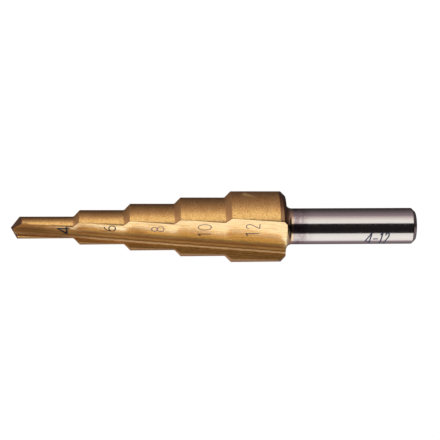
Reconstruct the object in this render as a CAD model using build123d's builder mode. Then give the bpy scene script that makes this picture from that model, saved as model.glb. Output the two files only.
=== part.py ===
"""Step drill for 4, 6, 8, 10 and 12 mm holes, ground from one bar, with two straight flutes.

The tool's axis is X, with the tip towards -X and the round shank towards +X. The origin is on the
axis, in the middle of the shank's plain cylinder. +Z is up with the drill lying as it comes to rest:
one flute faces up, and the drill stands on the cutting edge and the heel of its largest step.
Every angle in the cross-section is counted from +Y towards +Z. Seen from the shank the drill turns
clockwise, so a land lies on the far side of its cutting edge, at larger angles.
"""

import os
from math import acos, atan2, cos, degrees, radians, sin, tan

from build123d import *

# Steps, in millimetres. Each step cuts to its own diameter, and a cone leads to the next one.
first_diameter = 4.0
diameter_rise = 2.0
step_count = 5
first_step_length = 10.3
step_pitch = 8.32
last_land_length = 8.1
step_cone_angle = 45.0
step_root_radius = 0.4
back_taper = 0.03

# Relief. A land is part of a circle that lies off the tool's axis, so it falls away behind its edge.
relief_offset = 0.25
relief_lead = 60.0

# Flutes. A wheel with a rounded corner cuts a floor and a wall, and rises as it nears the shank.
floor_tilt = 28.0
groove_angle = 80.0
flute_root_radius = 0.7
floor_depth_at_tip = 0.35
floor_clearance_at_shank = 0.15
wall_lag_at_tip = 0.1
wall_lag_at_shank = 2.85

# Point. Each tooth has a narrow facet behind its lip and a steeper one that clears its heel.
point_angle = 118.0
lip_relief = 30.0
heel_facet_angle = 39.0
heel_facet_turn = 107.0

# Back of the largest step, neck and shank.
rear_chamfer = 0.9
back_cone_length = 0.3
neck_radius = 0.65
shank_diameter = 6.0
shank_length = 21.5
shank_chamfer = 0.6

# Radii and stations, counted along the axis from the tip.
step_radii = [first_diameter / 2 + diameter_rise / 2 * step for step in range(step_count)]
largest_radius = step_radii[-1]
shank_radius = shank_diameter / 2
cone_length = diameter_rise / 2 / tan(radians(step_cone_angle))
taper_length = back_taper / tan(radians(step_cone_angle))
cone_starts = [first_step_length + step_pitch * step for step in range(step_count - 1)]
land_starts = [0.0] + [start + cone_length + taper_length for start in cone_starts]
last_land_end = land_starts[-1] + last_land_length
land_ends = cone_starts + [last_land_end]
body_end = last_land_end + rear_chamfer
back_face_end = body_end + back_cone_length
back_face_rise = largest_radius - rear_chamfer - shank_radius
neck_turn = degrees(atan2(back_face_rise, back_cone_length))
neck_end = back_face_end + neck_radius * tan(radians(neck_turn / 2))
shank_end = back_face_end + shank_length
shank_chamfer_start = shank_end - shank_chamfer
shank_middle = (neck_end + shank_chamfer_start) / 2
tip_x = -shank_middle


def across(angle):
    """Unit vector in the cross-section at an angle from +Y towards +Z."""
    return Vector(0, cos(radians(angle)), sin(radians(angle)))


# The flute's two plane walls. Each normal points out of the steel into the open flute.
wall_angle = floor_tilt + groove_angle
floor_normal = across(floor_tilt + 90)
wall_normal = across(wall_angle - 90)
floor_depth_at_shank = shank_radius + floor_clearance_at_shank


def wall_offset(station):
    """Distance of the flute's wall from the tool's axis, negative behind centre."""
    return -wall_lag_at_tip - (wall_lag_at_shank - wall_lag_at_tip) * station / neck_end


def root_corner(floor_offset, side_offset):
    """Point of the cross-section where the flute's floor and wall would meet in a sharp corner."""
    overlap = floor_normal.dot(wall_normal)
    along_floor = floor_offset - side_offset * overlap
    along_wall = side_offset - floor_offset * overlap
    return (floor_normal * along_floor + wall_normal * along_wall) * (1 / (1 - overlap**2))


def edge_angle(step):
    """Angle in the cross-section at which a step's cutting edge starts."""
    offset = wall_offset(land_starts[step])
    return wall_angle - 90 + degrees(acos(offset / step_radii[step]))


# How far the point's facets fall back from the tip, for each millimetre across the tool.
lip_fall = across(wall_angle) / tan(radians(point_angle / 2))
lip_fall += across(wall_angle + 90) * tan(radians(lip_relief))
heel_fall = across(wall_angle + heel_facet_turn) / tan(radians(heel_facet_angle))

# Relieved lands of one tooth: turned about an axis off the tool's own, so that only the cutting edge
# reaches the full radius. The half of it on the tooth's side of the flutes is kept.
relief_angle = edge_angle(step_count - 1) - relief_lead
relief_centre = across(relief_angle) * relief_offset
relief_plane = Plane(origin=relief_centre, x_dir=(1, 0, 0), z_dir=(0, -1, 0))
turned_radii = [
    radius - relief_offset * cos(radians(edge_angle(step) - relief_angle))
    for step, radius in enumerate(step_radii)
]

with BuildPart() as tooth_half:
    with BuildSketch(relief_plane) as land_profile:
        with BuildLine():
            outline = [(tip_x, 0)]
            for start, end, radius in zip(land_starts, land_ends, turned_radii):
                outline.append((tip_x + start, radius))
                outline.append((tip_x + end, radius - back_taper))
            outline.append((tip_x + body_end, turned_radii[-1] - back_taper))
            outline.append((tip_x + body_end, 0))
            Polyline(outline, close=True)
        make_face()
        corners = land_profile.vertices()
        cone_roots = [
            corners.sort_by_distance(Vertex(tip_x + start, radius - back_taper))[0]
            for start, radius in zip(cone_starts, turned_radii)
        ]
        fillet(cone_roots, step_root_radius)
    revolve(axis=Axis(relief_centre, (1, 0, 0)))
    split(bisect_by=Plane.XZ, keep=Keep.TOP)

# One flute: the grinding wheel's section, carried along a straight path that rises to the shank.
root_at_tip = root_corner(floor_depth_at_tip, wall_offset(0))
root_at_shank = root_corner(floor_depth_at_shank, wall_offset(neck_end))
wheel_travel = root_at_shank - root_at_tip + Vector(neck_end, 0, 0)
wheel_run_out = 1.1
wheel_reach = 2 * shank_diameter

with BuildPart() as flute:
    with BuildSketch(Plane.YZ.offset(tip_x)) as wheel_section:
        with BuildLine():
            corner = (root_at_tip.Y, root_at_tip.Z)
            floor_side = across(floor_tilt) * wheel_reach + root_at_tip
            wall_side = across(wall_angle) * wheel_reach + root_at_tip
            Polyline([corner, (floor_side.Y, floor_side.Z), (wall_side.Y, wall_side.Z)], close=True)
        make_face()
        fillet(wheel_section.vertices().sort_by_distance(Vertex(*corner))[0], flute_root_radius)
    extrude(amount=wheel_travel.length * wheel_run_out, dir=wheel_travel)

with BuildPart() as step_drill:
    add(tooth_half.part)
    add(tooth_half.part.rotate(Axis.X, 180))

    # The back edge of the largest step is turned true to the tool's axis.
    with BuildSketch(Plane.XZ):
        with BuildLine():
            Polyline(
                [
                    (tip_x + last_land_end, largest_radius),
                    (tip_x + body_end, largest_radius - rear_chamfer),
                    (tip_x + body_end, largest_radius),
                ],
                close=True,
            )
        make_face()
    revolve(axis=Axis.X, mode=Mode.SUBTRACT)

    # Back face, neck and shank.
    with BuildSketch(Plane.XZ) as shank_profile:
        with BuildLine():
            Polyline(
                [
                    (tip_x + body_end, 0),
                    (tip_x + body_end, largest_radius - rear_chamfer),
                    (tip_x + back_face_end, shank_radius),
                    (tip_x + shank_chamfer_start, shank_radius),
                    (tip_x + shank_end, shank_radius - shank_chamfer),
                    (tip_x + shank_end, 0),
                ],
                close=True,
            )
        make_face()
        neck_corner = Vertex(tip_x + back_face_end, shank_radius)
        fillet(shank_profile.vertices().sort_by_distance(neck_corner)[0], neck_radius)
    revolve(axis=Axis.X)

    add(flute.part, mode=Mode.SUBTRACT)
    add(flute.part.rotate(Axis.X, 180), mode=Mode.SUBTRACT)

    # Point: each facet is a plane through the tip, and the keep side is the steel behind it.
    for fall in (lip_fall, -lip_fall, heel_fall, -heel_fall):
        facet = Plane(origin=(tip_x, 0, 0), z_dir=Vector(1, 0, 0) - fall)
        split(bisect_by=facet, keep=Keep.TOP)

step_drill.part.label = "step_drill"

os.makedirs("parts", exist_ok=True)
export_step(step_drill.part, "parts/step_drill.step")
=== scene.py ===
"""A step drill for 4 to 12 mm holes, lying on a pale floor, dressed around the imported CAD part.

The drill is ground here again as one dense, smooth solid in the place of its CAD node: two relieved
teeth, the true-running back, neck and shank, two straight flutes and the four facets of the point.
Sizes are in millimetres until a piece is finished, and then in metres as the frame is. Angles in the
cross-section are counted from +Y towards +Z, as they are in the CAD part.
"""

import logging
import math
from collections.abc import Callable
from dataclasses import dataclass, field
from enum import Enum
from typing import Optional, Union

import bpy
from mathutils import Matrix, Vector

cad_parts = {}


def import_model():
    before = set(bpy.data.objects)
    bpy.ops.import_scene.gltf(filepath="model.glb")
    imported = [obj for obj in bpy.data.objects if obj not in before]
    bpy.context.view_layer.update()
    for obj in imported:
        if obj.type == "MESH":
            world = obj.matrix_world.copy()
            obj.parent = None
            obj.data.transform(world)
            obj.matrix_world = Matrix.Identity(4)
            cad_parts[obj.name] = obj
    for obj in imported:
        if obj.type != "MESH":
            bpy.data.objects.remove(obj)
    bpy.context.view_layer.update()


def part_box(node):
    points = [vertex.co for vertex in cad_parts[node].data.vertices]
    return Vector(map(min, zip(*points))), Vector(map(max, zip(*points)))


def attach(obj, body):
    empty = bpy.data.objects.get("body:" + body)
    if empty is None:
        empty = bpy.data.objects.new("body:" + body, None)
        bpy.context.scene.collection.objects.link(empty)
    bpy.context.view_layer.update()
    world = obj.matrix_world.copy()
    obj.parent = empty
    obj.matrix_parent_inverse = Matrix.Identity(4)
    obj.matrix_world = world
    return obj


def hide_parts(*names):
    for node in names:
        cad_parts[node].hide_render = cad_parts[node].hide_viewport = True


LOG = logging.getLogger("step_drill")
MM = 0.001
NODE = "step_drill"
ALONG = Vector((1.0, 0.0, 0.0))
CENTRE = Vector((0.0, 0.0, 0.0))
NUMBERED_SIDE = 68.0  # Angle in the cross-section of the side with the numbers.

Colour = tuple[float, float, float, float]
Point = tuple[float, float]


def across(angle: float) -> Vector:
    """Unit vector in the cross-section at an angle from +Y towards +Z, in degrees."""
    return Vector((0.0, math.cos(math.radians(angle)), math.sin(math.radians(angle))))


# ---- modelling by hand


def make_active(piece: bpy.types.Object) -> None:
    """Selects one piece alone and makes it the active one."""
    bpy.ops.object.select_all(action="DESELECT")
    piece.select_set(True)
    bpy.context.view_layer.objects.active = piece


class Selection(Enum):
    """What an edit-mode selection is made of."""

    POINTS = "VERT"
    EDGES = "EDGE"


class Cut(Enum):
    """What a tool does to a solid."""

    JOIN = "UNION"
    REMOVE = "DIFFERENCE"
    TRIM = "INTERSECT"


class Edit:
    """Opens a piece in edit mode for as long as the block lasts."""

    def __init__(self, piece: bpy.types.Object, kind: Selection = Selection.EDGES) -> None:
        """Takes the mesh object, and what gets selected in it."""
        self.piece = piece
        self.kind = kind

    def __enter__(self) -> "Edit":
        """Enters edit mode with the whole mesh selected."""
        make_active(self.piece)
        bpy.ops.object.mode_set(mode="EDIT")
        bpy.ops.mesh.select_mode(type=self.kind.value)
        self.pick_all()
        return self

    def __exit__(self, *_: object) -> None:
        """Returns to object mode."""
        bpy.ops.object.mode_set(mode="OBJECT")

    def pick_all(self) -> None:
        """Selects the whole mesh."""
        bpy.ops.mesh.select_all(action="SELECT")

    def pick_points(self, test: Callable[[Vector], bool]) -> None:
        """Selects only the vertices, and the edges between them, that pass a test of their place."""
        bpy.ops.mesh.select_all(action="DESELECT")
        bpy.ops.object.mode_set(mode="OBJECT")
        mesh = self.piece.data
        chosen = {v.index for v in mesh.vertices if test(v.co)}
        for vertex in mesh.vertices:
            vertex.select = vertex.index in chosen
        for edge in mesh.edges:
            edge.select = all(index in chosen for index in edge.vertices)
        bpy.ops.object.mode_set(mode="EDIT")

    def turn_faces_out(self) -> None:
        """Points every face of the mesh outwards."""
        self.pick_all()
        bpy.ops.mesh.normals_make_consistent(inside=False)


def turn(
    name: str, stations: list[Point], centre: Vector = CENTRE, segments: int = 360
) -> bpy.types.Object:
    """Turns a solid about an axis along X, ring by ring.

    Args:
        name: the new object's name.
        stations: pairs of X and radius, in millimetres, from one end to the other.
        centre: a point of the axis, whose Y and Z count.
        segments: corners of each ring.

    Returns:
        The solid, closed at both ends.
    """
    (place, radius), *rest = stations
    bpy.ops.object.select_all(action="DESELECT")
    bpy.ops.mesh.primitive_circle_add(
        vertices=segments,
        radius=radius,
        fill_type="NGON",
        location=(place, centre.y, centre.z),
        rotation=(0.0, math.pi / 2, 0.0),
    )
    solid = bpy.context.object
    solid.name = name
    bpy.ops.object.transform_apply(location=True, rotation=True, scale=True)
    with Edit(solid) as edit:
        for next_place, next_radius in rest:
            bpy.ops.mesh.extrude_region_move(
                TRANSFORM_OT_translate={"value": (next_place - place, 0.0, 0.0)}
            )
            share = next_radius / radius
            bpy.ops.transform.resize(
                value=(1.0, share, share), center_override=(next_place, centre.y, centre.z)
            )
            place, radius = next_place, next_radius
        edit.turn_faces_out()
    return solid


def round_ring(solid: bpy.types.Object, place: float, turning: float, radius: float) -> None:
    """Rounds the ring of edges at one X to a radius.

    Args:
        solid: a turned solid.
        place: the ring's X, in millimetres.
        turning: how far the profile turns there, in degrees.
        radius: the rounding's radius, in millimetres.
    """
    with Edit(solid) as edit:
        edit.pick_points(lambda point: abs(point.x - place) < 1e-3)
        bpy.ops.mesh.bevel(
            offset=radius * math.tan(math.radians(turning / 2)),
            segments=10,
            profile=0.5,
            affect="EDGES",
        )


def cut_flat(solid: bpy.types.Object, point: Vector, kept_side: Vector) -> None:
    """Grinds a solid flat by a plane, and keeps what lies on the side that a vector points to."""
    with Edit(solid):
        bpy.ops.mesh.bisect(
            plane_co=point, plane_no=kept_side, use_fill=True, clear_inner=True, threshold=1e-5
        )


def combine(solid: bpy.types.Object, tool: bpy.types.Object, cut: Cut) -> None:
    """Applies a Boolean to a solid and uses its tool up.

    Args:
        solid: the object that stays.
        tool: the object that it is joined with, or cut or trimmed by.
        cut: what the tool does.
    """
    make_active(solid)
    boolean = solid.modifiers.new("boolean", "BOOLEAN")
    boolean.operation = cut.value
    boolean.solver = "EXACT"
    boolean.material_mode = "TRANSFER"
    boolean.object = tool
    bpy.ops.object.modifier_apply(modifier=boolean.name)
    bpy.data.objects.remove(tool)


def half_turned_copy(solid: bpy.types.Object, name: str) -> bpy.types.Object:
    """A copy with its own mesh, turned half a turn about the drill's axis."""
    make_active(solid)
    bpy.ops.object.duplicate()
    copy = bpy.context.object
    copy.name = name
    with Edit(copy):
        bpy.ops.transform.rotate(value=math.pi, orient_axis="X", center_override=tuple(CENTRE))
    return copy


def finish_piece(piece: bpy.types.Object, name: str) -> bpy.types.Object:
    """Cleans a piece that is modelled in millimetres, brings it to metres and smooths its curves.

    Args:
        piece: the mesh object, at the origin.
        name: its final name.

    Returns:
        The same object.
    """
    with Edit(piece) as edit:
        bpy.ops.mesh.remove_doubles(threshold=1e-4)
        edit.turn_faces_out()
        bpy.ops.transform.resize(value=(MM, MM, MM), center_override=tuple(CENTRE))
    piece.name = name
    piece.data.name = name
    make_active(piece)
    bpy.ops.object.shade_smooth_by_angle(angle=math.radians(25.0))
    weighted = piece.modifiers.new("flat_faces_stay_flat", "WEIGHTED_NORMAL")
    weighted.keep_sharp = True
    weighted.weight = 100
    bpy.ops.object.modifier_apply(modifier=weighted.name)
    return piece


# ---- shader nodes


class Signal:
    """What a node puts out: a value, vector, colour or surface. Sums are written as arithmetic."""

    def __init__(self, shader: "Shader", socket: bpy.types.NodeSocket) -> None:
        """Takes a node's output, and the tree that the node belongs to."""
        self.shader = shader
        self.socket = socket

    def __add__(self, other: "Value") -> "Signal":
        """The sum of two values."""
        return self.shader.maths("ADD", self, other)

    def __sub__(self, other: "Value") -> "Signal":
        """This value less another."""
        return self.shader.maths("SUBTRACT", self, other)

    def __rsub__(self, other: float) -> "Signal":
        """A number less this value."""
        return self.shader.maths("SUBTRACT", other, self)

    def __mul__(self, other: "Value") -> "Signal":
        """The product of two values."""
        return self.shader.maths("MULTIPLY", self, other)

    def __truediv__(self, other: "Value") -> "Signal":
        """This value divided by another."""
        return self.shader.maths("DIVIDE", self, other)

    def __abs__(self) -> "Signal":
        """The value without its sign."""
        return self.shader.maths("ABSOLUTE", self)

    def remap(self, low: float, high: float, to_low: float, to_high: float) -> "Signal":
        """The value stretched from one range to another, smoothly and clamped."""
        sockets = {"Value": self, 1: low, 2: high, 3: to_low, 4: to_high}
        return self.shader.signal("MapRange", "Result", sockets, interpolation_type="SMOOTHSTEP")

    def towards(self, target: "Value", share: "Signal") -> "Signal":
        """The value moved by a share of the way to another value."""
        return self + share * (target - self)


Value = Union[Signal, float]
Coat = tuple[Value, Union[Signal, Colour]]
Place = tuple[Signal, Signal, Signal]
Sockets = dict[Union[str, int], object]


class Shader:
    """The node tree of a material or a world, built up one node at a time."""

    def __init__(self, owner: Union[bpy.types.Material, bpy.types.World]) -> None:
        """Starts an empty tree in its owner."""
        owner.use_nodes = True
        self.owner = owner
        self.tree = owner.node_tree
        self.tree.nodes.clear()

    @classmethod
    def named(cls, name: str) -> "Shader":
        """Starts the tree of a new material."""
        return cls(bpy.data.materials.new(name))

    def node(self, kind: str, sockets: Optional[Sockets] = None, **settings: object) -> bpy.types.Node:
        """Adds a node.

        Args:
            kind: the node's type, without its ShaderNode prefix.
            sockets: values or signals for its inputs, by name or by number.
            settings: the node's own properties.

        Returns:
            The node.
        """
        node = self.tree.nodes.new("ShaderNode" + kind)
        for key, value in settings.items():
            setattr(node, key, value)
        for key, value in (sockets or {}).items():
            if isinstance(value, Signal):
                self.tree.links.new(value.socket, node.inputs[key])
            else:
                node.inputs[key].default_value = value
        return node

    def signal(
        self, kind: str, output: Union[str, int], sockets: Optional[Sockets] = None, **settings: object
    ) -> Signal:
        """Adds a node and gives one of its outputs, by name or by number."""
        return Signal(self, self.node(kind, sockets, **settings).outputs[output])

    def maths(self, operation: str, first: Value, second: Value = 0.0) -> Signal:
        """One sum of two values."""
        return self.signal("Math", 0, {0: first, 1: second}, operation=operation)

    def millimetres(self, stretch: tuple[float, float, float] = (1.0, 1.0, 1.0)) -> Signal:
        """Object coordinates in millimetres, stretched along the axes of the frame."""
        place = self.signal("TexCoord", "Object")
        scale = tuple(share / MM for share in stretch)
        return self.signal("Mapping", "Vector", {"Vector": place, "Scale": scale})

    def parts(self, vector: Signal) -> Place:
        """The X, Y and Z of a vector."""
        outputs = self.node("SeparateXYZ", {"Vector": vector}).outputs
        return tuple(Signal(self, outputs[axis]) for axis in "XYZ")

    def noise(self, vector: Signal, scale: float, detail: float, rough: float) -> Signal:
        """A noise value about 0.5, with its features about 1 / scale in size."""
        sockets = {"Vector": vector, "Scale": scale, "Detail": detail, "Roughness": rough}
        return self.signal("TexNoise", "Fac", sockets)

    def paint(self, ground: Union[Signal, Colour], coats: list[Coat]) -> Signal:
        """Paints coats over a ground.

        Args:
            ground: the colour at the bottom.
            coats: pairs of how much a coat covers and its colour, from the bottom up.

        Returns:
            The colour that shows.
        """
        for share, colour in coats:
            sockets = {0: share, 6: ground, 7: colour}
            ground = self.signal("Mix", 2, sockets, data_type="RGBA")
        return ground

    def ramp(self, share: Signal, stops: list[tuple[float, Colour]]) -> tuple[Signal, Signal]:
        """Colours along a value from 0 to 1.

        Args:
            share: the value.
            stops: pairs of a place on the ramp and its colour.

        Returns:
            The colour and its alpha.
        """
        ramp = self.node("ValToRGB", {"Fac": share})
        elements = ramp.color_ramp.elements
        for index, (place, colour) in enumerate(stops):
            stop = elements[index] if index < 2 else elements.new(place)
            stop.position = place
            stop.color = colour
        return Signal(self, ramp.outputs["Color"]), Signal(self, ramp.outputs["Alpha"])

    def bump(
        self, height: Signal, depth: float, under: Optional[Signal] = None, strength: Value = 1.0
    ) -> Signal:
        """The normal of a relief.

        Args:
            height: the relief, from 0 to 1.
            depth: what a height of 1 stands for, in millimetres.
            under: the normal that it is laid over.
            strength: how much of it shows.
        """
        sockets = {"Strength": strength, "Distance": depth * MM, "Height": height}
        if under is not None:
            sockets["Normal"] = under
        return self.signal("Bump", "Normal", sockets)

    def finish(self, surface: Signal) -> Union[bpy.types.Material, bpy.types.World]:
        """Joins a surface to the output and returns the material or world."""
        is_world = isinstance(self.owner, bpy.types.World)
        self.node("OutputWorld" if is_world else "OutputMaterial", {"Surface": surface})
        return self.owner

    def finish_coated(self, sockets: Sockets) -> bpy.types.Material:
        """Joins one layered surface, with these inputs, to the output and returns the material."""
        return self.finish(self.signal("BsdfPrincipled", "BSDF", sockets))


# ---- finishes


@dataclass(frozen=True)
class Coating:
    """The gold titanium nitride layer, its stains, the bare steel under it, and colours of painted
    light and shade on it.
    """

    gold: Colour = (1.0, 0.63, 0.22, 1.0)
    warm_gold: Colour = (0.74, 0.39, 0.12, 1.0)
    # Painted shade on the faces that look towards the tip.
    cone_shade_gold: Colour = (1.0, 0.52, 0.24, 1.0)
    # Painted reflection on the flute's floor, far from the wall's reflection.
    pale_gold: Colour = (0.96, 0.72, 0.39, 1.0)
    # Painted reflection on the flute's floor, and the colour of a paler patch on the largest land.
    bright_gold: Colour = (0.95, 0.71, 0.36, 1.0)
    fresh_gold: Colour = (1.0, 0.90, 0.50, 1.0)
    # Painted highlight on the flute's floor, just past the wall's reflection.
    floor_highlight_gold: Colour = (1.0, 0.89, 0.58, 1.0)
    wall_gold: Colour = (1.0, 0.54, 0.18, 1.0)
    tip_gold: Colour = (0.62, 0.36, 0.13, 1.0)
    tip_brown: Colour = (0.42, 0.21, 0.07, 1.0)
    brown: Colour = (0.46, 0.20, 0.05, 1.0)
    # Dark specks and darker edges, and painted shade along the heels, on the rear chamfer and where
    # the flutes run out.
    soot_and_shade: Colour = (0.20, 0.10, 0.05, 1.0)
    steel: Colour = (0.60, 0.56, 0.53, 1.0)
    tint: Colour = (0.24, 0.16, 0.18, 1.0)


def distance_along(place: Place, way: Vector) -> Signal:
    """How far a place lies from the axis, measured along a direction of the cross-section."""
    _, y, z = place
    return y * way.y + z * way.z


@dataclass(frozen=True)
class RootLine:
    """The line where a flute's floor and wall would meet in a sharp corner, and the steps along it."""

    tip_x: float
    root: Vector
    travel: Vector
    floor_tilt: float
    half_groove: float
    first_land: float
    step_pitch: float

    def station(self, place: Place) -> Signal:
        """Distance along the axis from the tip."""
        return place[0] - self.tip_x

    def phase(self, station: Signal) -> Signal:
        """How far along its step a station lies, from 0 where the land starts to 1."""
        shader = station.shader
        return shader.maths("FRACT", (station - self.first_land) / self.step_pitch)

    def reach(self, place: Place, turn_from_floor: float, side: float) -> Signal:
        """How far a point lies from the root, along a direction of the cross-section.

        Args:
            place: the point, in millimetres.
            turn_from_floor: the direction, in degrees from the one that runs along the floor.
            side: 1 for the flute that faces up, and -1 for the other one.
        """
        way = across(self.floor_tilt + turn_from_floor)
        slope = self.travel.dot(way) / self.travel.x
        run = self.station(place) * slope
        return distance_along(place, way * side) - (run + self.root.dot(way))

    def level(self, along_floor: Signal, off_floor: Signal) -> Signal:
        """How far a point lies to the floor's side of the groove's middle plane."""
        half = math.radians(self.half_groove)
        return along_floor * math.sin(half) - off_floor * math.cos(half)


@dataclass(frozen=True)
class TurnedFinish:
    """Round surfaces: fine rings from cylindrical grinding, coated up to the neck and bare behind it,
    with painted shade along the heels, on the rear chamfer and on the cones.

    Lengths are in millimetres, and places are X in the frame. A share says how much of what is under
    it a coat covers, and a film how much duller than metal it makes the surface.
    """

    coating: Coating
    root_line: RootLine
    body_end: float
    coat_end: float
    coat_fade: float = 0.4
    tint_end: float = 3.8
    coat_roughness: float = 0.36
    neck_roughness: float = 0.16
    steel_roughness: float = 0.12
    ring_depth: float = 0.0016
    speck_depth: float = 0.005
    edge_width: float = 0.12
    chamfer: float = 0.9
    grain_share: float = 0.42
    edge_share: float = 0.5
    heel_shade_share: float = 0.7
    chamfer_shade_share: float = 0.95
    neck_share: float = 0.42
    cone_shade_share: float = 0.45
    cone_film: float = 0.24
    pale_patch_share: float = 0.2
    pale_patch_film: float = 0.75
    pale_patch_station: float = 38.5
    clear_coat: float = 0.25

    def dress(self) -> bpy.types.Material:
        """Builds the material."""
        s = Shader.named("turned_surface")
        plain = s.millimetres()
        place = s.parts(plain)
        along = place[0]
        rings = s.noise(s.millimetres((1.0, 0.02, 0.02)), 9.0, 4.0, 0.7)
        specks = s.noise(plain, 5.5, 3.0, 0.65)
        blotches = s.noise(s.millimetres((1.0, 0.5, 0.5)), 0.9, 3.0, 0.6)
        grain = s.noise(plain, 7.5, 1.0, 0.5)

        edge = along - self.coat_end + (specks - 0.5) * 0.5
        bare = edge.remap(-self.coat_fade / 2, self.coat_fade / 2, 0.0, 1.0)
        behind = along.remap(self.body_end + 0.05, self.body_end + 0.4, 0.0, 1.0)
        back_edge = self.body_end - self.chamfer
        backed = along.remap(back_edge - 0.3, back_edge - 0.15, 0.0, 1.0)
        facing = s.parts(s.signal("NewGeometry", "Normal"))[0]
        coned = facing.remap(-0.6, -0.2, 1.0, 0.0)
        pale_patch = self.pale_patch(place)
        stain = along.remap(self.coat_end, self.coat_end + self.tint_end, 0.9, 0.0)
        stain = stain * blotches.remap(0.38, 0.62, 0.35, 1.0)

        coating = self.coating
        gold = s.paint(
            coating.gold,
            [
                (blotches.remap(0.42, 0.62, 0.0, 0.3), coating.warm_gold),
                (rings.remap(0.35, 0.65, 0.25, 0.0), coating.warm_gold),
                (specks.remap(0.30, 0.52, 0.5, 0.0), coating.brown),
                (specks.remap(0.33, 0.43, 0.6, 0.0), coating.soot_and_shade),
                (grain.remap(0.36, 0.56, self.grain_share, 0.0), coating.brown),
                # Darker along sharp edges.
                (self.darker_edges(s) * self.edge_share, coating.soot_and_shade),
                # Painted shade: a thin dark line along each heel.
                (self.heel_shade_lines(s, place) * self.heel_shade_share, coating.soot_and_shade),
                # Painted shade on the rear chamfer, behind the last land.
                ((backed - behind) * self.chamfer_shade_share, coating.soot_and_shade),
                (behind * self.neck_share, coating.steel),
                # Painted shade: the faces that look towards the tip get a deeper gold.
                (coned * self.cone_shade_share, coating.cone_shade_gold),
                # A paler three-cornered patch high on the largest land.
                (pale_patch * self.pale_patch_share, coating.bright_gold),
            ],
        )
        steel = s.paint(
            coating.steel, [(stain, coating.tint), (specks.remap(0.25, 0.40, 0.30, 0.0), coating.tint)]
        )

        rough_gold = specks.remap(0.3, 0.7, self.coat_roughness + 0.05, self.coat_roughness - 0.04)
        rough_gold = (rough_gold + coned * 0.08).towards(self.neck_roughness, backed)
        rough_steel = rings.remap(0.3, 0.7, self.steel_roughness - 0.02, self.steel_roughness + 0.05)
        ring_bump = s.bump(rings, self.ring_depth)
        return s.finish_coated(
            {
                "Base Color": s.paint(gold, [(bare, steel)]),
                "Coat Weight": self.clear_coat - bare * self.clear_coat,
                "Coat Roughness": 0.3,
                "Specular IOR Level": 0.3,
                "Metallic": 1.0 - (coned * self.cone_film + pale_patch * self.pale_patch_film),
                "Roughness": rough_gold.towards(rough_steel, bare),
                "Normal": s.bump(specks, self.speck_depth, ring_bump, 1.0 - behind * 0.75),
            }
        )

    def darker_edges(self, s: Shader) -> Signal:
        """How near a point of the surface is to a sharp edge, from 0 to 1."""
        rounded = s.signal("Bevel", "Normal", {"Radius": self.edge_width * MM}, samples=6)
        true = s.signal("NewGeometry", "Normal")
        alike = s.signal("VectorMath", "Value", {0: rounded, 1: true}, operation="DOT_PRODUCT")
        return alike.remap(0.80, 0.985, 1.0, 0.0)

    def heel_shade_lines(self, s: Shader, place: Place) -> Signal:
        """A thin line of painted shade on each land where it meets the floor of a flute, from 0 to 1.
        """
        breaks = s.noise(s.millimetres((0.35, 1.0, 1.0)), 1.6, 3.0, 0.6)
        phase = self.root_line.phase(self.root_line.station(place))
        width = phase.remap(0.2, 0.85, 0.06, 0.22) + breaks.remap(0.35, 0.6, 0.0, 0.08)
        lines = []
        for side in (1.0, -1.0):
            off_floor = abs(self.root_line.reach(place, 90.0, side))
            past_root = self.root_line.reach(place, 0.0, side).remap(0.5, 0.8, 0.0, 1.0)
            lines.append((off_floor / width).remap(0.4, 1.0, 1.0, 0.0) * past_root)
        return s.maths("MAXIMUM", *lines)

    def pale_patch(self, place: Place) -> Signal:
        """A paler three-cornered patch high on the largest land, from 0 to 1."""
        along = self.root_line.station(place) - self.pale_patch_station
        rise = distance_along(place, across(NUMBERED_SIDE - 90.0))
        inside = distance_along(place, across(NUMBERED_SIDE)).remap(0.0, 0.4, 0.0, 1.0)
        for slope, level, side in ((1.13, 5.72, -1.0), (-0.47, 5.64, -1.0), (-0.17, 5.05, 1.0)):
            past_edge = (rise - (along * slope + level)) * side
            inside = inside * past_edge.remap(-0.1, 0.15, 0.0, 1.0)
        return inside


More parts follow.
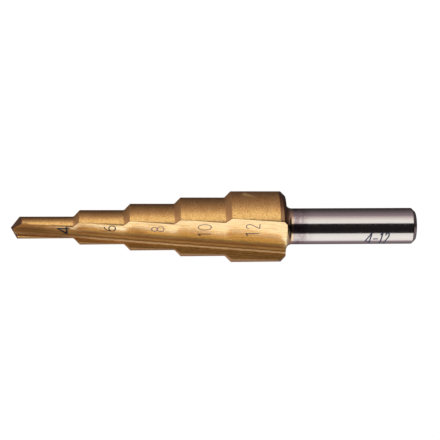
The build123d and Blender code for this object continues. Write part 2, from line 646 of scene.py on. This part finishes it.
@dataclass(frozen=True)
class FluteFinish:
    """Flute walls: streaks left along the flute by the wheel, a painted reflection of the wall on the
    floor near the root, and painted highlights and shade in the root.

    Lengths are in millimetres. The edge of the painted wall reflection climbs the floor along each
    step and drops back at the next, and the painted highlights and shade in the root are given as
    heights on the floor's side of the groove's middle plane, each with its colour and how much that
    covers.
    """

    coating: Coating
    root_line: RootLine
    name: str
    side: float
    flow: float = 0.045
    # Where the painted reflection of the wall ends on the floor, along each step.
    wall_reflection_height: float = 0.75
    wall_reflection_growth: float = 0.060
    wall_reflection_drop: float = 0.038
    wall_reflection_wave: float = 1.3
    last_wall_reflection: float = 44.5
    # Stations where the flute's run-out gets painted shade.
    shaded_flute_end: tuple[float, float] = (45.2, 45.7)
    roughness: float = 0.235
    root_roughness: float = 0.70
    streak_depth: float = 0.007
    ledge_height: float = 0.15
    lit_level: float = -0.52
    lit_gloss: float = 0.30
    root_film: float = 0.56
    wall_film: float = 0.23
    most_film: float = 0.60
    light_and_shade_range: tuple[float, float] = (-1.2, 2.0)
    # Painted highlights and shade in the root, where the wheel's profile catches or loses the light.
    root_light_and_shade: tuple[tuple[float, Colour], ...] = (
        (-0.90, (0.95, 0.55, 0.22, 0.0)),
        (-0.74, (0.95, 0.55, 0.22, 0.6)),
        (-0.62, (1.0, 0.68, 0.34, 1.0)),
        (-0.43, (1.0, 0.68, 0.34, 1.0)),
        (-0.36, (0.55, 0.23, 0.06, 1.0)),
        (-0.20, (0.55, 0.23, 0.06, 1.0)),
        (-0.08, (1.0, 0.62, 0.22, 1.0)),
        (0.10, (1.0, 0.62, 0.22, 1.0)),
        (0.24, (0.82, 0.37, 0.10, 1.0)),
        (0.38, (0.82, 0.37, 0.10, 0.8)),
        (0.60, (1.0, 0.56, 0.18, 0.3)),
        (0.9, (1.0, 0.56, 0.18, 0.0)),
    )

    def dress(self) -> bpy.types.Material:
        """Builds the material."""
        s = Shader.named(self.name)
        plain = s.millimetres()
        place = s.parts(plain)
        station = self.root_line.station(place)
        along_floor = self.root_line.reach(place, 0.0, self.side)
        off_floor = self.root_line.reach(place, 90.0, self.side)
        flowing = {"X": station * self.flow, "Y": along_floor - off_floor, "Z": self.side}
        flowing = s.signal("CombineXYZ", "Vector", flowing)
        fine = s.noise(flowing, 6.0, 4.0, 0.65)
        broad = s.noise(flowing, 1.7, 2.0, 0.5)
        longer = s.signal("Mapping", "Vector", {"Vector": flowing, "Scale": (3.0, 1.0, 1.0)})
        blotches = s.noise(longer, 2.6, 4.0, 0.65)
        specks = s.noise(plain, 5.5, 3.0, 0.65)
        wavy = s.noise(plain, 1.1, 4.0, 0.6) - 0.5

        # Painted reflection of the wall: how far past its edge a point of the floor lies.
        past_wall_reflection = along_floor - (self.wall_reflection_edge(station) + wavy * self.wall_reflection_wave)
        wall = off_floor.remap(0.45, 0.75, 0.0, 1.0)
        level = self.root_line.level(along_floor, off_floor) + wavy * 0.22
        level = level - station.remap(8.0, 30.0, 0.12, 0.0)
        streaked = station.remap(12.0, 34.0, 0.72, 0.30) + wall * 0.25
        ragged = station.remap(7.0, 15.0, 1.0, 0.0) * broad.remap(0.42, 0.54, 0.75, 0.0)
        root_light_colour, root_light_share = self.light_and_shade_in_root(s, level)

        coating = self.coating
        gold = s.paint(
            coating.fresh_gold,
            [
                # Painted reflection: lighter golds past the edge of the wall's reflection on the
                # floor.
                (past_wall_reflection.remap(-0.1, 0.5, 0.0, 1.0), coating.floor_highlight_gold),
                (past_wall_reflection.remap(0.9, 1.6, 0.0, 1.0), coating.bright_gold),
                (past_wall_reflection.remap(1.6, 2.6, 0.0, 1.0), coating.pale_gold),
                (wall, coating.wall_gold),
                (station.remap(1.0, 13.0, 0.75, 0.0), coating.tip_gold),
                # Painted reflection: brown blotches inside the wall's reflection on the floor.
                (
                    blotches.remap(0.44, 0.62, 0.0, 0.22) * past_wall_reflection.remap(-0.5, 0.2, 1.0, 0.0),
                    coating.brown,
                ),
                (streaked * fine.remap(0.40, 0.55, 1.0, 0.0), coating.brown),
                (broad.remap(0.36, 0.60, 0.0, 0.08), coating.gold),
                # Painted highlights and shade in the root.
                (root_light_share, root_light_colour),
                (ragged, coating.brown),
                (station.remap(3.0, 16.0, 0.36, 0.0), coating.tip_brown),
                # Painted shade where the flute runs out at the back.
                (station.remap(*self.shaded_flute_end, 0.0, 0.9), coating.soot_and_shade),
                (specks.remap(0.24, 0.40, 0.45, 0.0), coating.soot_and_shade),
            ],
        )

        lit = abs(level - self.lit_level).remap(0.05, 0.13, self.lit_gloss, 0.0)
        rounded = abs(level).remap(0.45, 0.75, 1.0, 0.0)
        film = s.maths("MINIMUM", rounded * self.root_film + wall * self.wall_film, self.most_film)
        roughness = rounded * (self.root_roughness - self.roughness) + self.roughness - lit
        ledge = level.remap(self.lit_level - 0.11, self.lit_level + 0.11, 0.0, 1.0)
        return s.finish_coated(
            {
                "Base Color": gold,
                "Metallic": 0.96 - film,
                "Roughness": roughness + fine.remap(0.3, 0.7, 0.07, -0.03),
                "Specular IOR Level": 0.15,
                "Normal": s.bump(fine, self.streak_depth, s.bump(ledge, self.ledge_height)),
            }
        )

    def wall_reflection_edge(self, station: Signal) -> Signal:
        """How far up the floor the painted reflection of the wall reaches at a station."""
        last = station.shader.maths("MINIMUM", station, self.last_wall_reflection)
        growth = self.wall_reflection_growth - self.root_line.phase(last) * self.wall_reflection_drop
        return last * growth + self.wall_reflection_height

    def light_and_shade_in_root(self, s: Shader, level: Signal) -> tuple[Signal, Signal]:
        """Painted highlights and shade in the rounded root: their colour, and how much it covers."""
        low, high = self.light_and_shade_range
        stops = [((height - low) / (high - low), colour) for height, colour in self.root_light_and_shade]
        return s.ramp((level - low) / (high - low), stops)


@dataclass(frozen=True)
class PointFinish:
    """Point facets: dull, with a thinner and darker coat."""

    colour: Colour = (0.44, 0.25, 0.15, 1.0)
    dark: Colour = (0.25, 0.13, 0.07, 1.0)
    roughness: float = 0.42
    mark_depth: float = 0.004

    def dress(self) -> bpy.types.Material:
        """Builds the material."""
        s = Shader.named("point_facets")
        marks = s.noise(s.millimetres((1.0, 0.4, 1.6)), 4.0, 4.0, 0.6)
        return s.finish_coated(
            {
                "Base Color": s.paint(self.colour, [(marks.remap(0.35, 0.65, 0.6, 0.0), self.dark)]),
                "Metallic": 1.0,
                "Roughness": self.roughness,
                "Normal": s.bump(marks, self.mark_depth),
            }
        )


@dataclass(frozen=True)
class InkFinish:
    """Laser-marked numbers: a dull oxide film."""

    name: str
    colour: Colour
    roughness: float = 0.55
    lightening: float = 1.7

    def dress(self) -> bpy.types.Material:
        """Builds the material."""
        s = Shader.named(self.name)
        grain = s.noise(s.millimetres(), 14.0, 3.0, 0.6)
        lighter = (*(min(1.0, channel * self.lightening) for channel in self.colour[:3]), 1.0)
        return s.finish_coated(
            {
                "Base Color": s.paint(self.colour, [(grain.remap(0.35, 0.65, 0.0, 1.0), lighter)]),
                "Metallic": 0.3,
                "Roughness": self.roughness,
            }
        )


# ---- the drill


@dataclass
class StepDrill:
    """The whole tool. Lengths are in millimetres along the axis from the tip, angles in degrees."""

    tip_x: float
    step_radii: tuple[float, ...] = (2.0, 3.0, 4.0, 5.0, 6.0)
    land_starts: tuple[float, ...] = (0.0, 11.33, 19.65, 27.97, 36.29)
    land_ends: tuple[float, ...] = (10.3, 18.62, 26.94, 35.26, 44.39)
    step_cone_angle: float = 45.0
    step_root_radius: float = 0.4
    back_taper: float = 0.03
    relief_offset: float = 0.25
    relief_lead: float = 60.0
    floor_tilt: float = 28.0
    groove_angle: float = 80.0
    flute_root_radius: float = 0.7
    floor_depth_at_tip: float = 0.35
    floor_depth_at_shank: float = 3.15
    wall_lag_at_tip: float = 0.1
    wall_lag_at_shank: float = 2.85
    point_angle: float = 118.0
    lip_reliefs: tuple[float, float] = (13.0, 30.0)
    heel_facet_angle: float = 39.0
    heel_facet_turn: float = 107.0
    rear_chamfer: float = 0.9
    back_cone_length: float = 0.3
    neck_radius: float = 0.65
    neck_blend: float = 0.95
    coated_length: float = 46.5
    shank_radius: float = 3.0
    shank_length: float = 21.5
    shank_chamfer: float = 0.6
    chamfer_blend: float = 0.25
    coating: Coating = field(default_factory=Coating)

    def __post_init__(self) -> None:
        """Works out the stations and directions that several steps of the grinding share."""
        self.body_end = self.land_ends[-1] + self.rear_chamfer
        self.back_face_end = self.body_end + self.back_cone_length
        self.shank_end = self.back_face_end + self.shank_length
        rise = self.step_radii[-1] - self.rear_chamfer - self.shank_radius
        self.neck_turn = math.degrees(math.atan2(rise, self.back_cone_length))
        neck_tangent = self.neck_radius * math.tan(math.radians(self.neck_turn / 2))
        self.neck_end = self.back_face_end + neck_tangent
        self.wall_angle = self.floor_tilt + self.groove_angle
        self.root_at_tip = self.root_corner(self.floor_depth_at_tip, self.wall_offset(0.0))
        root_at_shank = self.root_corner(self.floor_depth_at_shank, self.wall_offset(self.neck_end))
        self.travel = root_at_shank - self.root_at_tip + ALONG * self.neck_end
        self.tip = ALONG * self.tip_x
        half_groove = self.groove_angle / 2
        first, second = self.land_starts[1:3]
        line = (self.tip_x, self.root_at_tip, self.travel, self.floor_tilt, half_groove)
        self.root_line = RootLine(*line, first_land=first, step_pitch=second - first)

    def wall_offset(self, station: float) -> float:
        """Distance of a flute's wall from the axis at a station."""
        fall = self.wall_lag_at_shank - self.wall_lag_at_tip
        return -self.wall_lag_at_tip - fall * station / self.neck_end

    def root_corner(self, floor_offset: float, side_offset: float) -> Vector:
        """Point where a flute's floor and wall would meet in a sharp corner."""
        floor_normal = across(self.floor_tilt + 90.0)
        wall_normal = across(self.wall_angle - 90.0)
        overlap = floor_normal.dot(wall_normal)
        along_floor = floor_offset - side_offset * overlap
        along_wall = side_offset - floor_offset * overlap
        return (floor_normal * along_floor + wall_normal * along_wall) / (1.0 - overlap**2)

    def edge_angle(self, step: int) -> float:
        """Angle in the cross-section at which a step's cutting edge starts."""
        share = self.wall_offset(self.land_starts[step]) / self.step_radii[step]
        return self.wall_angle - 90.0 + math.degrees(math.acos(share))

    def tooth(self) -> bpy.types.Object:
        """One tooth's relieved lands: turned off the axis, and cut down the middle."""
        before_tip, past_shank, overlap = 0.5, 1.0, 0.15
        relief_angle = self.edge_angle(len(self.step_radii) - 1) - self.relief_lead
        centre = across(relief_angle) * self.relief_offset
        radii = [
            radius - self.relief_offset * math.cos(math.radians(self.edge_angle(step) - relief_angle))
            for step, radius in enumerate(self.step_radii)
        ]
        stations = [(self.tip_x - before_tip, radii[0])]
        for start, end, radius in zip(self.land_starts, self.land_ends, radii):
            stations.append((self.tip_x + start, radius))
            stations.append((self.tip_x + end, radius - self.back_taper))
        stations.append((self.tip_x + self.shank_end + past_shank, radii[-1] - self.back_taper))
        solid = turn("tooth", stations, centre)
        for end in self.land_ends[:-1]:
            round_ring(solid, self.tip_x + end, self.step_cone_angle, self.step_root_radius)
        cut_flat(solid, Vector((0.0, overlap, 0.0)), Vector((0.0, -1.0, 0.0)))
        return solid

    def true_running_back(self) -> bpy.types.Object:
        """What the teeth are trimmed to: the back edge, neck and shank, true to the axis."""
        before_tip, clear = 1.0, 4.0
        largest = self.step_radii[-1]
        chamfer_start = self.shank_end - self.shank_chamfer
        profile = [
            (-before_tip, largest + clear),
            (self.land_ends[-1] - clear, largest + clear),
            (self.body_end, largest - self.rear_chamfer),
            (self.back_face_end, self.shank_radius),
            (chamfer_start, self.shank_radius),
            (self.shank_end, self.shank_radius - self.shank_chamfer),
        ]
        solid = turn("true_running_back", [(self.tip_x + place, radius) for place, radius in profile])
        round_ring(solid, self.tip_x + self.back_face_end, self.neck_turn, self.neck_blend)
        round_ring(solid, self.tip_x + chamfer_start, 45.0, self.chamfer_blend)
        return solid

    def flute(self, finish: bpy.types.Material) -> bpy.types.Object:
        """The body that a grinding wheel takes out as it travels along one flute."""
        run_in, run_out, reach = 0.03, 1.13, 12.0
        start = self.tip + self.root_at_tip - self.travel * run_in
        bpy.ops.object.select_all(action="DESELECT")
        bpy.ops.mesh.primitive_circle_add(vertices=3, radius=1.0, fill_type="NGON")
        solid = bpy.context.object
        solid.name = "flute"
        sides = (across(self.floor_tilt) * reach, across(self.wall_angle) * reach)
        for vertex, corner in zip(solid.data.vertices, (start, *(start + side for side in sides))):
            vertex.co = corner
        with Edit(solid, Selection.POINTS) as edit:
            edit.pick_points(lambda point: (point - start).length < 1e-3)
            bpy.ops.mesh.bevel(
                offset=self.flute_root_radius / math.tan(math.radians(self.groove_angle / 2)),
                segments=28,
                profile=0.5,
                affect="VERTICES",
            )
            edit.pick_all()
            travel = tuple(self.travel * run_out)
            bpy.ops.mesh.extrude_region_move(TRANSFORM_OT_translate={"value": travel})
            edit.turn_faces_out()
        solid.data.materials.append(finish)
        return solid

    def grind_point(self, solid: bpy.types.Object, finish: bpy.types.Material) -> None:
        """Grinds the two facets of each lip, all four through the tip."""
        kept_sides = []
        for side, lip_relief in zip((1.0, -1.0), self.lip_reliefs):
            lip_fall = across(self.wall_angle) / math.tan(math.radians(self.point_angle / 2))
            lip_fall += across(self.wall_angle + 90.0) * math.tan(math.radians(lip_relief))
            heel_fall = across(self.wall_angle + self.heel_facet_turn)
            heel_fall /= math.tan(math.radians(self.heel_facet_angle))
            kept_sides += [(ALONG - fall * side).normalized() for fall in (lip_fall, heel_fall)]
        for kept_side in kept_sides:
            cut_flat(solid, self.tip, kept_side)
        solid.data.materials.append(finish)
        facet_slot = len(solid.data.materials) - 1
        for face in solid.data.polygons:
            if any(face.normal.dot(-kept_side) > 0.9999 for kept_side in kept_sides):
                face.material_index = facet_slot

    def grind(self) -> bpy.types.Object:
        """Grinds the drill from bar, dresses it and puts it in the place of its CAD node.

        Returns:
            The finished piece.
        """
        ends = (self.tip_x + self.body_end, self.tip_x + self.coated_length)
        turned = TurnedFinish(self.coating, self.root_line, *ends).dress()
        drill = self.tooth()
        drill.data.materials.append(turned)
        combine(drill, half_turned_copy(drill, "second_tooth"), Cut.JOIN)
        back = self.true_running_back()
        back.data.materials.append(turned)
        combine(drill, back, Cut.TRIM)
        facing_up, facing_down = (
            FluteFinish(self.coating, self.root_line, name, side).dress()
            for name, side in (("first_flute", 1.0), ("second_flute", -1.0))
        )
        first = self.flute(facing_up)
        second = half_turned_copy(first, "second_flute")
        second.data.materials[0] = facing_down
        combine(drill, first, Cut.REMOVE)
        combine(drill, second, Cut.REMOVE)
        self.grind_point(drill, PointFinish().dress())
        return finish_piece(drill, "ground_drill")


# ---- the numbers


def oval(middle: Point, half: Point, start: float = 0.0, end: float = 360.0) -> list[Point]:
    """Points of an oval stroke, counterclockwise between two angles in degrees from its right."""
    count = 36
    turns = [math.radians(start + (end - start) * i / count) for i in range(count + 1)]
    return [(middle[0] + half[0] * math.cos(t), middle[1] + half[1] * math.sin(t)) for t in turns]


def digit_strokes(digit: str) -> list[list[Point]]:
    """Single-line strokes of a digit, one unit high on a base line, about its middle line."""
    strokes = {
        "0": [oval((0.0, 0.5), (0.215, 0.5))],
        "1": [[(0.0, 0.0), (0.0, 1.0), (-0.17, 0.80)]],
        "2": [oval((0.0, 0.745), (0.155, 0.255), 175.0, -25.0) + [(-0.155, 0.0), (0.165, 0.0)]],
        "4": [[(0.155, 0.0), (0.155, 1.0), (-0.26, 0.25), (0.26, 0.25)]],
        "6": [oval((0.0, 0.29), (0.22, 0.29)), oval((0.13, 0.32), (0.35, 0.66), 175.0, 92.0)],
        "8": [oval((0.0, 0.27), (0.20, 0.27)), oval((0.0, 0.77), (0.165, 0.23))],
        "-": [[(-0.22, 0.42), (0.22, 0.42)]],
    }
    return strokes[digit]


@dataclass
class Marking:
    """Numbers marked on the drill by a laser that looks straight at it from the camera's side.

    Sizes are in millimetres. Each digit has its place along the axis from the tip and its height over
    the axis, both to its middle as the laser sees them.
    """

    name: str
    digits: list[tuple[str, float, float]]
    height: float
    ink: InkFinish
    line_width: float
    lies_along: bool = False
    slant: float = 0.0
    wire_radius: float = 0.25
    point_spacing: float = 0.05

    def mark(
        self, drill: StepDrill, body: bpy.types.Object, finish: bpy.types.Material
    ) -> bpy.types.Object:
        """Lays every stroke on the drill's surface.

        Args:
            drill: the drill's sizes.
            body: the finished drill, which the strokes are laid on.
            finish: the material of the marks.

        Returns:
            The finished piece.
        """
        curve = bpy.data.curves.new(self.name, "CURVE")
        curve.dimensions = "3D"
        curve.bevel_depth = self.wire_radius * MM
        curve.bevel_resolution = 10
        curve.use_fill_caps = True
        for digit, station, rise in self.digits:
            for stroke in digit_strokes(digit):
                seen = [self.seen_from_laser(station, rise, point) for point in self.dense(stroke)]
                spline = curve.splines.new("POLY")
                spline.points.add(len(seen) - 1)
                for point, (along, up) in zip(spline.points, seen):
                    point.co = (*self.under_surface(drill, body, along, up), 1.0)
        bpy.ops.object.select_all(action="DESELECT")
        piece = bpy.data.objects.new(self.name, curve)
        bpy.context.collection.objects.link(piece)
        make_active(piece)
        bpy.ops.object.convert(target="MESH")
        piece = bpy.context.object
        piece.data.materials.append(finish)
        with Edit(piece) as edit:
            edit.turn_faces_out()
        bpy.ops.object.shade_smooth()
        return piece

    def dense(self, stroke: list[Point]) -> list[Point]:
        """The same stroke with points close enough to follow a curved surface."""
        points = [stroke[0]]
        for start, end in zip(stroke, stroke[1:]):
            count = max(1, math.ceil(math.dist(start, end) / (self.point_spacing / self.height)))
            for i in range(1, count + 1):
                points.append(tuple(a + (b - a) * (i / count) for a, b in zip(start, end)))
        return points

    def seen_from_laser(self, station: float, rise: float, point: Point) -> Point:
        """Where a stroke's point goes, as a station and a height over the axis."""
        side, up = point[0] * self.height, (point[1] - 0.5) * self.height
        if self.lies_along:
            return station + side + self.slant * up, rise + up
        return station - up, rise + side

    def under_surface(
        self, drill: StepDrill, body: bpy.types.Object, station: float, rise: float
    ) -> Vector:
        """Place of a stroke's round wire, sunk under the surface until it shows its line's width.

        Args:
            drill: the drill's sizes.
            body: the finished drill.
            station: where the laser looks, along the axis from the tip.
            rise: where the laser looks, as a height over the axis.

        Returns:
            The wire's place, in metres.
        """
        depth = math.sqrt(self.wire_radius**2 - (self.line_width / 2) ** 2)
        look = across(NUMBERED_SIDE)
        start = drill.tip + ALONG * station + across(NUMBERED_SIDE - 90.0) * rise
        hit, where, normal, _ = body.ray_cast((start + look * 10.0) * MM, -look)
        if not hit:
            raise ValueError(f"{self.name}: a stroke misses the drill")
        return where - normal * depth * MM


def markings() -> list[Marking]:
    """The marked numbers, each where the photograph shows it."""
    black = InkFinish("black_marks", (0.025, 0.022, 0.03, 1.0))
    violet = InkFinish("violet_marks", (0.21, 0.155, 0.175, 1.0))
    dark_violet = InkFinish("dark_violet_marks", (0.07, 0.05, 0.06, 1.0))
    blue = InkFinish("blue_marks", (0.05, 0.055, 0.10, 1.0))
    shank_range = [("4", 59.05, -2.06), ("-", 60.2, -2.0), ("1", 61.15, -2.06), ("2", 62.0, -2.06)]
    return [
        Marking("number_4", [("4", 8.74, -0.49)], 2.0, black, 0.31),
        Marking("number_6", [("6", 16.34, -0.21)], 1.86, black, 0.21),
        Marking("number_8", [("8", 24.2, -0.37)], 2.05, violet, 0.17),
        Marking("one_of_10", [("1", 31.88, -1.20)], 2.13, dark_violet, 0.20),
        Marking("nought_of_10", [("0", 31.88, -0.10)], 2.13, violet, 0.18),
        Marking("one_of_12", [("1", 39.73, -1.14)], 2.2, dark_violet, 0.20),
        Marking("two_of_12", [("2", 39.73, -0.01)], 2.2, violet, 0.18),
        Marking("shank_range", shank_range, 1.8, blue, 0.24, lies_along=True, slant=0.2),
    ]


# ---- studio

WHITE: Colour = (1.0, 1.0, 1.0, 1.0)
WARM: Colour = (1.0, 0.80, 0.92, 1.0)


@dataclass(frozen=True)
class Glow:
    """How bright and what colour the room is in one direction round the drill's axis."""

    angle: float
    radiance: float
    colour: Colour = WHITE

    def stop(self) -> tuple[float, Colour]:
        """Its place on a ramp that goes once round the axis from -180 degrees, and its light."""
        light = (*(self.radiance * channel for channel in self.colour[:3]), 1.0)
        return (self.angle + 180.0) / 360.0, light


def room_glow() -> list[Glow]:
    """Two soft boxes, a gap over the drill for the camera, and a dim room near the floor."""
    return [
        Glow(-180.0, 0.25, WARM),
        Glow(-2.0, 0.36, WARM),
        Glow(2.0, 0.58, WARM),
        Glow(14.0, 0.90, (1.0, 0.90, 0.86, 1.0)),
        Glow(28.0, 1.22, (1.0, 0.99, 0.97, 1.0)),
        Glow(50.0, 1.38),
        Glow(52.5, 0.02, WARM),
        Glow(105.0, 0.02, WARM),
        Glow(115.5, 0.05, WARM),
        Glow(118.0, 1.22),
        Glow(150.0, 1.36),
        Glow(172.0, 1.25),
        Glow(180.0, 0.55, WARM),
    ]


@dataclass
class Studio:
    """A pale floor in a room with two long soft boxes and a gap above the drill.

    The background is what the floor shows straight to the camera, and seen_in_metal is the part of it
    that a reflection shows, dimmer within dim_width of the drill as a painted shadow. Lengths are in
    metres.
    """

    floor_height: float
    floor_size: float = 4.0
    floor_colour: Colour = (0.07, 0.06, 0.055, 1.0)
    background: float = 0.99
    seen_in_metal: float = 0.36
    dim_width: float = 0.013
    dim_end: tuple[float, float] = (0.32, 0.66)
    dim_end_light: float = 0.03

    def lay_floor(self) -> None:
        """Makes the floor. Its light to the camera is added to its own shade, so shadows stay."""
        bpy.ops.object.select_all(action="DESELECT")
        bpy.ops.mesh.primitive_plane_add(size=self.floor_size, location=(0.0, 0.0, self.floor_height))
        floor = bpy.context.object
        floor.name = "floor"
        s = Shader.named("pale_floor")
        sideways = s.parts(s.signal("TexCoord", "Object"))[1]
        # Painted shadow: the floor's glow in reflections falls off close to the drill's line.
        reach = s.maths("POWER", abs(sideways), 2.0)
        share = reach / (reach + self.dim_width**2)
        direct, glossy, transmitted = (
            s.signal("LightPath", f"Is {ray} Ray") for ray in ("Camera", "Glossy", "Transmission")
        )
        reflected = (glossy + transmitted) * (share * self.seen_in_metal)
        paper = s.signal("BsdfDiffuse", "BSDF", {"Color": self.floor_colour})
        pale = s.signal("Emission", "Emission", {"Strength": direct * self.background})
        dim = s.signal("Emission", "Emission", {"Color": WARM, "Strength": reflected})
        both = s.signal("AddShader", "Shader", {0: pale, 1: dim})
        floor.data.materials.append(s.finish(s.signal("AddShader", "Shader", {0: paper, 1: both})))

    def light(self) -> None:
        """Paints the room's soft boxes on the world, by direction, with a dim end."""
        world = bpy.data.worlds.new("room")
        bpy.context.scene.world = world
        s = Shader(world)
        x, y, z = s.parts(s.signal("TexCoord", "Generated"))
        turned = s.maths("ARCTAN2", z, y) / (2.0 * math.pi) + 0.5
        colour, _ = s.ramp(turned, [glow.stop() for glow in room_glow()])
        strength = x.remap(*self.dim_end, 1.0, self.dim_end_light)
        room = s.signal("Background", "Background", {"Color": colour, "Strength": strength})
        white = s.signal("Background", "Background", {"Color": WHITE, "Strength": 1.0})
        seen = s.signal("LightPath", "Is Camera Ray")
        s.finish(s.signal("MixShader", "Shader", {0: seen, 1: room, 2: white}))


@dataclass
class Camera:
    """The photograph's camera. Lengths in millimetres, angles in degrees."""

    station: float = 23.45
    distance: float = 219.0
    yaw: float = 2.9
    pitch: float = 0.29
    roll: float = -0.27
    focal_pixels: float = 1320.0
    frame_pixels: float = 440.0
    sensor: float = 36.0

    def set_up(self, tip_x: float) -> None:
        """Places the camera over the drill, with the tip at the left of the frame."""
        bpy.ops.object.select_all(action="DESELECT")
        near = across(NUMBERED_SIDE)
        foot = ALONG * (tip_x + self.station)
        bpy.ops.object.camera_add(location=(foot + near * self.distance) * MM)
        camera = bpy.context.object
        camera.name = "photo_camera"
        square = Matrix((ALONG, near.cross(ALONG), near)).transposed()
        turn_left = Matrix.Rotation(math.radians(-self.yaw), 3, "Y")
        tilt_up = Matrix.Rotation(math.radians(self.pitch), 3, "X")
        lean = Matrix.Rotation(math.radians(self.roll), 3, "Z")
        camera.rotation_euler = (square @ turn_left @ tilt_up @ lean).to_euler()
        camera.data.sensor_width = self.sensor
        camera.data.lens = self.focal_pixels / self.frame_pixels * self.sensor
        camera.data.clip_start = 0.01
        camera.data.clip_end = 20.0
        bpy.context.scene.camera = camera


# ---- the scene


def main() -> None:
    """Builds the drill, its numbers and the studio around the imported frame."""
    logging.basicConfig(level=logging.INFO, format="%(name)s: %(message)s")
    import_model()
    bpy.context.scene.view_settings.view_transform = "Standard"
    low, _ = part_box(NODE)
    drill = StepDrill(tip_x=low.x / MM)
    Camera().set_up(drill.tip_x)
    studio = Studio(floor_height=low.z)
    studio.lay_floor()
    studio.light()

    body = drill.grind()
    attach(body, "root")
    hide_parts(NODE)
    LOG.info("%s: %d faces", body.name, len(body.data.polygons))

    inks: dict[str, bpy.types.Material] = {}
    for marking in markings():
        if marking.ink.name not in inks:
            inks[marking.ink.name] = marking.ink.dress()
        piece = marking.mark(drill, body, inks[marking.ink.name])
        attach(piece, "root")
        LOG.info("%s: %d faces", piece.name, len(piece.data.polygons))


if __name__ == "__main__":
    main()
